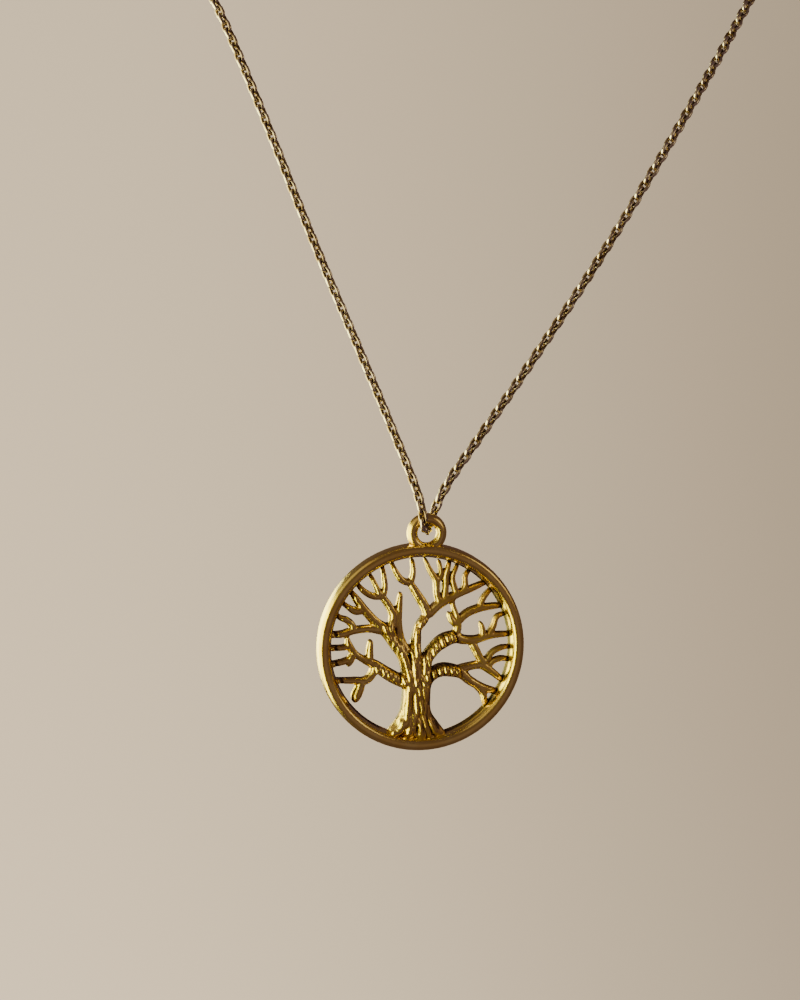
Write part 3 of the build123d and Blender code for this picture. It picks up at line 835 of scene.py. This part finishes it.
def splineThrough(controls):
    # the points of a NURBS spline that has these control points, close together
    curve = bpy.data.curves.new("line", "CURVE")
    curve.dimensions = "3D"
    spline = curve.splines.new("NURBS")
    spline.points.add(len(controls) - 1)
    flat = np.concatenate([np.array(controls), np.ones((len(controls), 1))], axis=1)
    spline.points.foreach_set("co", flat.ravel())
    spline.order_u = 3
    spline.use_endpoint_u = True
    spline.resolution_u = 24
    holder = bpy.data.objects.new("line", curve)
    bpy.context.scene.collection.objects.link(holder)
    line = bpy.data.meshes.new_from_object(holder.evaluated_get(bpy.context.evaluated_depsgraph_get()))
    points, _ = meshArrays(line)
    bpy.data.objects.remove(holder)
    return points


def carriedSides(tangents):
    # A side direction carried along the line without twist: each step takes the last side and removes
    # its share along the new tangent
    sides = np.empty_like(tangents)
    side = np.array([0.0, 0.0, 1.0])
    for n, tangent in enumerate(tangents):
        side = side - tangent * (side @ tangent)
        side /= np.linalg.norm(side)
        sides[n] = side
    return sides


def linkShape():
    # Closed tube, the wire's circle carried round a stadium of two half circles and two straights:
    # (shift + out x cos(angle), out x sin(angle), wire / 2 x sin(turn)), where out is the bend's radius
    # + wire / 2 x cos(turn). inside is 1 on the wire's inner side and 0 on its outer side.
    bend = (chain["linkWidth"] - chain["wire"]) / 2
    reach = (chain["linkLength"] - chain["wire"]) / 2 - bend
    angle = np.radians([-90, -45, 0, 45, 90, 90, 90, 135, 180, 225, 270, 270])
    shift = np.array([1, 1, 1, 1, 1, 0, -1, -1, -1, -1, -1, 0]) * reach
    turn = np.linspace(0, 2 * math.pi, chain["aroundWire"], endpoint=False)
    out = bend + chain["wire"] / 2 * np.cos(turn)
    along = shift[:, None] + out * np.cos(angle)[:, None]
    across = out * np.sin(angle)[:, None]
    over = chain["wire"] / 2 * np.sin(turn) + 0 * along
    inside = 0.5 - 0.5 * np.cos(turn) + 0 * along
    points = np.stack([along, across, over], axis=-1)
    return points, inside.ravel(), np.array(gridFaces(len(angle), len(turn), True, True))


def endRing(side):
    # A round ring of wire that stands upright through the tab's hole: (middle + out x cos(around),
    # wire / 2 x sin(turn), out x sin(around)), where out is the ring's radius + wire / 2 x cos(turn)
    steps, sides = chain["endRingSteps"]
    around = np.linspace(0, 2 * math.pi, steps, endpoint=False)[:, None]
    turn = np.linspace(0, 2 * math.pi, sides, endpoint=False)
    out = (chain["endRing"] - chain["endWire"]) / 2 + chain["endWire"] / 2 * np.cos(turn)
    x = side * chain["endRingAt"] + out * np.cos(around)
    y = chain["endWire"] / 2 * np.sin(turn) + 0 * around
    z = chain["claspHeight"] + out * np.sin(around)
    return np.stack([x, y, z], axis=-1).reshape(-1, 3), np.array(gridFaces(steps, sides, True, True))


def linkTurns(along, side, other, offEye):
    # Every link is a quarter turn on from the last. Where the chain runs across the view, the links' planes
    # stand at 45 degrees to the front. The link in the eye lies flat, and at the clasp the end links lie
    # flat in the upright end rings. In between the turn that is left over is shared out evenly.
    order = np.arange(len(along))
    last, fold = order[-1], int(np.argmin(offEye))
    front = np.degrees(np.arctan2(other[:, 1], side[:, 1])) - 90.0 * order
    flat = np.degrees(np.arctan2(other[:, 0], side[:, 0])) - 90.0 * order
    seen = (np.abs(along[:, 1]) < 0.5) & (order > chain["turning"]) & (order < last - chain["turning"])
    left, right = order[seen & (order < fold)], order[seen & (order > fold)]
    marks = np.concatenate([[0], left, [fold], right, [last]])
    wanted = np.concatenate([front[:1], front[left] + 45.0, flat[[fold]], front[right] + 45.0, front[-1:]])
    period = np.where(np.isin(marks, [0, fold, last]), 180.0, 90.0)
    for n in range(1, len(marks)):
        wanted[n] += period[n] * round((wanted[n - 1] - wanted[n]) / period[n])
    return np.radians(np.interp(order, marks, wanted) + 90.0 * order)


def makeChain(material):
    line = splineThrough(chainLine)
    gone = np.concatenate([[0.0], np.cumsum(np.linalg.norm(np.diff(line, axis=0), axis=1))])
    lead = chain["firstLinkAt"] - chain["claspEnd"]
    room = gone[-1] - 2 * lead
    # the count is odd, so that a link's middle lies in the eye
    count = 2 * int(round(room / chain["pitch"] / 2)) + 1
    middles = lead + np.linspace(0, room, count)
    pitch = middles[1] - middles[0]

    def at(place):
        return np.stack([np.interp(place, gone, line[:, axis]) for axis in range(3)], axis=1)

    before, after = at(middles - pitch / 2), at(middles + pitch / 2)
    along = after - before
    along /= np.linalg.norm(along, axis=1)[:, None]
    side = carriedSides(along)
    other = np.cross(along, side)
    roll = linkTurns(along, side, other, np.linalg.norm(at(middles) - chain["eye"], axis=1))
    across = np.cos(roll)[:, None] * side + np.sin(roll)[:, None] * other
    basis = np.stack([along, across, np.cross(along, across)], axis=1)
    shape, inside, faces = linkShape()
    points = np.einsum("rck,nkd->nrcd", shape, basis) + ((before + after) / 2)[:, None, None, :]
    allPoints = points.reshape(-1, 3)
    allFaces = (faces[None] + (np.arange(count) * len(inside))[:, None, None]).reshape(-1, 4).tolist()
    for end in (-1, 1):
        ring, ringFaces = endRing(end)
        allFaces += (ringFaces + len(allPoints)).tolist()
        allPoints = np.concatenate([allPoints, ring])
    made = addMesh("chain", allPoints, allFaces, material)
    # hollow marks the links' inner sides, where the finish paints shade
    hollow = np.zeros(len(allPoints))
    hollow[:count * len(inside)] = np.tile(inside, count)
    made.data.attributes.new("hollow", "FLOAT", "POINT").data.foreach_set("value", hollow.astype(np.float32))
    print("chain:", count, "links,", round(pitch, 3), "mm apart")
    return made


def chainGold():
    # Pale bright wire, darkened to brown on the links' inner sides as painted shade between the links, and
    # fine drawing marks
    f = Finish("chainGold")
    place = f.place()
    cloud = f.noise(place, 0.6, 2.0, 0.5)
    grain = f.noise(place, 6.0, 2.0, 0.5)
    hollow = (f.attribute("hollow") + (cloud - 0.5) * 0.3).clamped()
    bright = f.blend(cloud.between(0.4, 0.7), *chain["bright"])
    # painted shade: the inner sides blend to dark brown
    colour = f.blend(hollow.between(0.10, 0.75), bright, chain["linkInnerShade"])
    return f.done({
        "Base Color": colour, "Metallic": 1.0, "Roughness": 0.20 + 0.25 * hollow,
        "Normal": f.relief(grain, 0.01, 0.4),
    })


links = makeChain(chainGold())
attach(links, "necklace")
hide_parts("chain_left", "chain_right")
print("chain made")


# The clasp keeps the frame's mesh and gets a finish of its own
clasp = {
    "gold": ((0.78, 0.64, 0.38), (0.62, 0.47, 0.24)),
}


def claspGold():
    # Polished barrel: fine scratches round it and a little brown film
    f = Finish("claspGold")
    place = f.place()
    rings = f.noise(f.stretched(place, (0.0, 0.0, 0.0), (6.0, 0.6, 0.6)), 2.0, 2.0, 0.6)
    cloud = f.noise(place, 0.5, 2.0, 0.5)
    return f.done({
        "Base Color": f.blend(cloud.between(0.35, 0.7), *clasp["gold"]),
        "Metallic": 1.0, "Roughness": 0.2 + 0.1 * rings,
        "Normal": f.relief(rings, 0.006, 0.4),
    })


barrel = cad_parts["clasp"]
barrel.data.materials.clear()
barrel.data.materials.append(claspGold())
print("clasp finished")


# Floor and backdrop in one sweep of pale paper all round, and the lights
studio = {
    "floorDepth": -420.0,
    "bend": 500.0,
    "middle": (0.0, -1100.0),
    "reach": (2600.0, 2000.0),
    "squareness": 5.0,
    "top": 2500.0,
    "steps": (96, 24),  # round the sweep and up its bend
    "paper": ((0.58, 0.49, 0.385), (0.61, 0.515, 0.41)),
    "glow": 0.85,
    "glowBetween": (0.4, 1.2),  # metres from the middle of the wash light's patch
    "washFrom": (-80.0, 300.0, -40.0),
    "washMiddle": (-80.0, 900.0, -100.0),
    "room": (0.094, 0.058, 0.062),
}


def makeSweep():
    # A profile carried round a superellipse, |x / a|^5 + |y / b|^5 = 1: flat floor, a quarter circle, then
    # an upright wall. x = a x sign(cos) |cos|^(2/5) x share and y = b x sign(sin) |sin|^(2/5) x share, where
    # share is how far out the profile has come. Outside the wash light's patch the paper glows as brightly
    # as it is lit inside.
    s = studio
    steps, rise = s["steps"]
    turn = np.linspace(0, math.pi / 2, rise)
    share = 1 - s["bend"] / s["reach"][1] * (1 - np.sin(turn))
    share = np.concatenate([[0.002], share, [1.0]])
    z = np.concatenate([[0.0], s["bend"] * (1 - np.cos(turn)), [s["top"]]]) + s["floorDepth"]
    around = np.linspace(0, 2 * math.pi, steps, endpoint=False)[:, None]
    plan = [np.sign(way) * np.abs(way) ** (2 / s["squareness"]) for way in (np.cos(around), np.sin(around))]
    x = s["middle"][0] + s["reach"][0] * plan[0] * share
    y = s["middle"][1] + s["reach"][1] * plan[1] * share
    points = np.stack([x, y, z + 0 * x], axis=-1).reshape(-1, 3)
    pole = [list(range(0, steps * len(share), len(share)))]
    f = Finish("studioPaper")
    place = f.place()
    colour = f.blend(f.noise(place, 0.004, 2.0, 0.5), *s["paper"])
    washMiddle = tuple(part * millimetre for part in s["washMiddle"])
    away = f.make("ShaderNodeVectorMath", {"operation": "DISTANCE"}, {0: place, 1: washMiddle}, "Value")
    sweep = addMesh("sweep", points, gridFaces(steps, len(share), True, False) + pole, f.done({
        "Base Color": colour, "Roughness": 0.9, "Specular IOR Level": 0.1,
        "Emission Color": f.blend(away.between(*s["glowBetween"]), (0.0, 0.0, 0.0), colour),
        "Emission Strength": s["glow"],
    }))
    sweep.visible_glossy = False
    sweep.visible_diffuse = False
    return sweep


def standAt(azimuth, elevation, distance):
    # a place round the charm: azimuth and elevation as for the camera
    az, el = math.radians(azimuth), math.radians(elevation)
    back = np.array([math.sin(az) * math.cos(el), -math.cos(az) * math.cos(el), math.sin(el)])
    return np.array(charmPlace["discMiddle"]) + distance * back


def addLight(name, place, aim, size, power, colour, lit):
    # a soft box that faces its aim and lights only the objects in lit, sizes in mm
    back = np.array(place, float) - np.array(aim, float)
    back /= np.linalg.norm(back)
    side = np.cross((0.0, 0.0, 1.0), back)
    side /= np.linalg.norm(side)
    up = np.cross(back, side)
    lamp = bpy.data.lights.new(name, "AREA")
    lamp.shape = "RECTANGLE"
    lamp.size = size[0] * millimetre
    lamp.size_y = size[1] * millimetre
    lamp.energy = power
    lamp.color = colour
    holder = bpy.data.objects.new(name, lamp)
    turn = Matrix([[side[i], up[i], back[i]] for i in range(3)]).to_4x4()
    turn.translation = (np.array(place, float) * millimetre).tolist()
    holder.matrix_world = turn
    holder.visible_camera = False
    bpy.context.scene.collection.objects.link(holder)
    reached = bpy.data.collections.new(name)
    for each in lit:
        reached.objects.link(each)
    holder.light_linking.receiver_collection = reached


sweep = makeSweep()
necklace = [casting, links, barrel]
softBoxes = {
    # azimuth, elevation and distance of its stand, size in mm, power in watts, colour, what it lights
    "keyBox": ((-98, -14, 600), (1200, 800), 19.0, (0.98, 0.96, 0.12), [casting]),
    "chainBox": ((-98, -14, 600), (1200, 800), 17.0, (1.0, 0.92, 0.45), [links, barrel]),
    "backBox": ((-156, -6, 800), (420, 400), 4.0, (1.0, 0.97, 0.40), necklace),
    "highLeft": ((-85, 40, 900), (1100, 700), 1.0, (1.0, 0.82, 0.50), necklace),
    "rightFill": ((50, 25, 900), (400, 400), 0.6, (1.0, 0.80, 0.50), necklace),
    "frontFill": ((12, -10, 1500), (900, 900), 0.18, (1.0, 0.74, 0.80), necklace),
}
for name, (stand, size, power, colour, lit) in softBoxes.items():
    addLight(name, standAt(*stand), charmPlace["discMiddle"], size, power, colour, lit)
addLight("paperWash", studio["washFrom"], studio["washMiddle"], (500, 600), 7.2, (1.0, 0.95, 0.78), [sweep])
world = bpy.data.worlds.new("room")
world.use_nodes = True
world.node_tree.nodes["Background"].inputs["Color"].default_value = (*studio["room"], 1.0)
world.node_tree.nodes["Background"].inputs["Strength"].default_value = 1.0
bpy.context.scene.world = world
print("studio made")
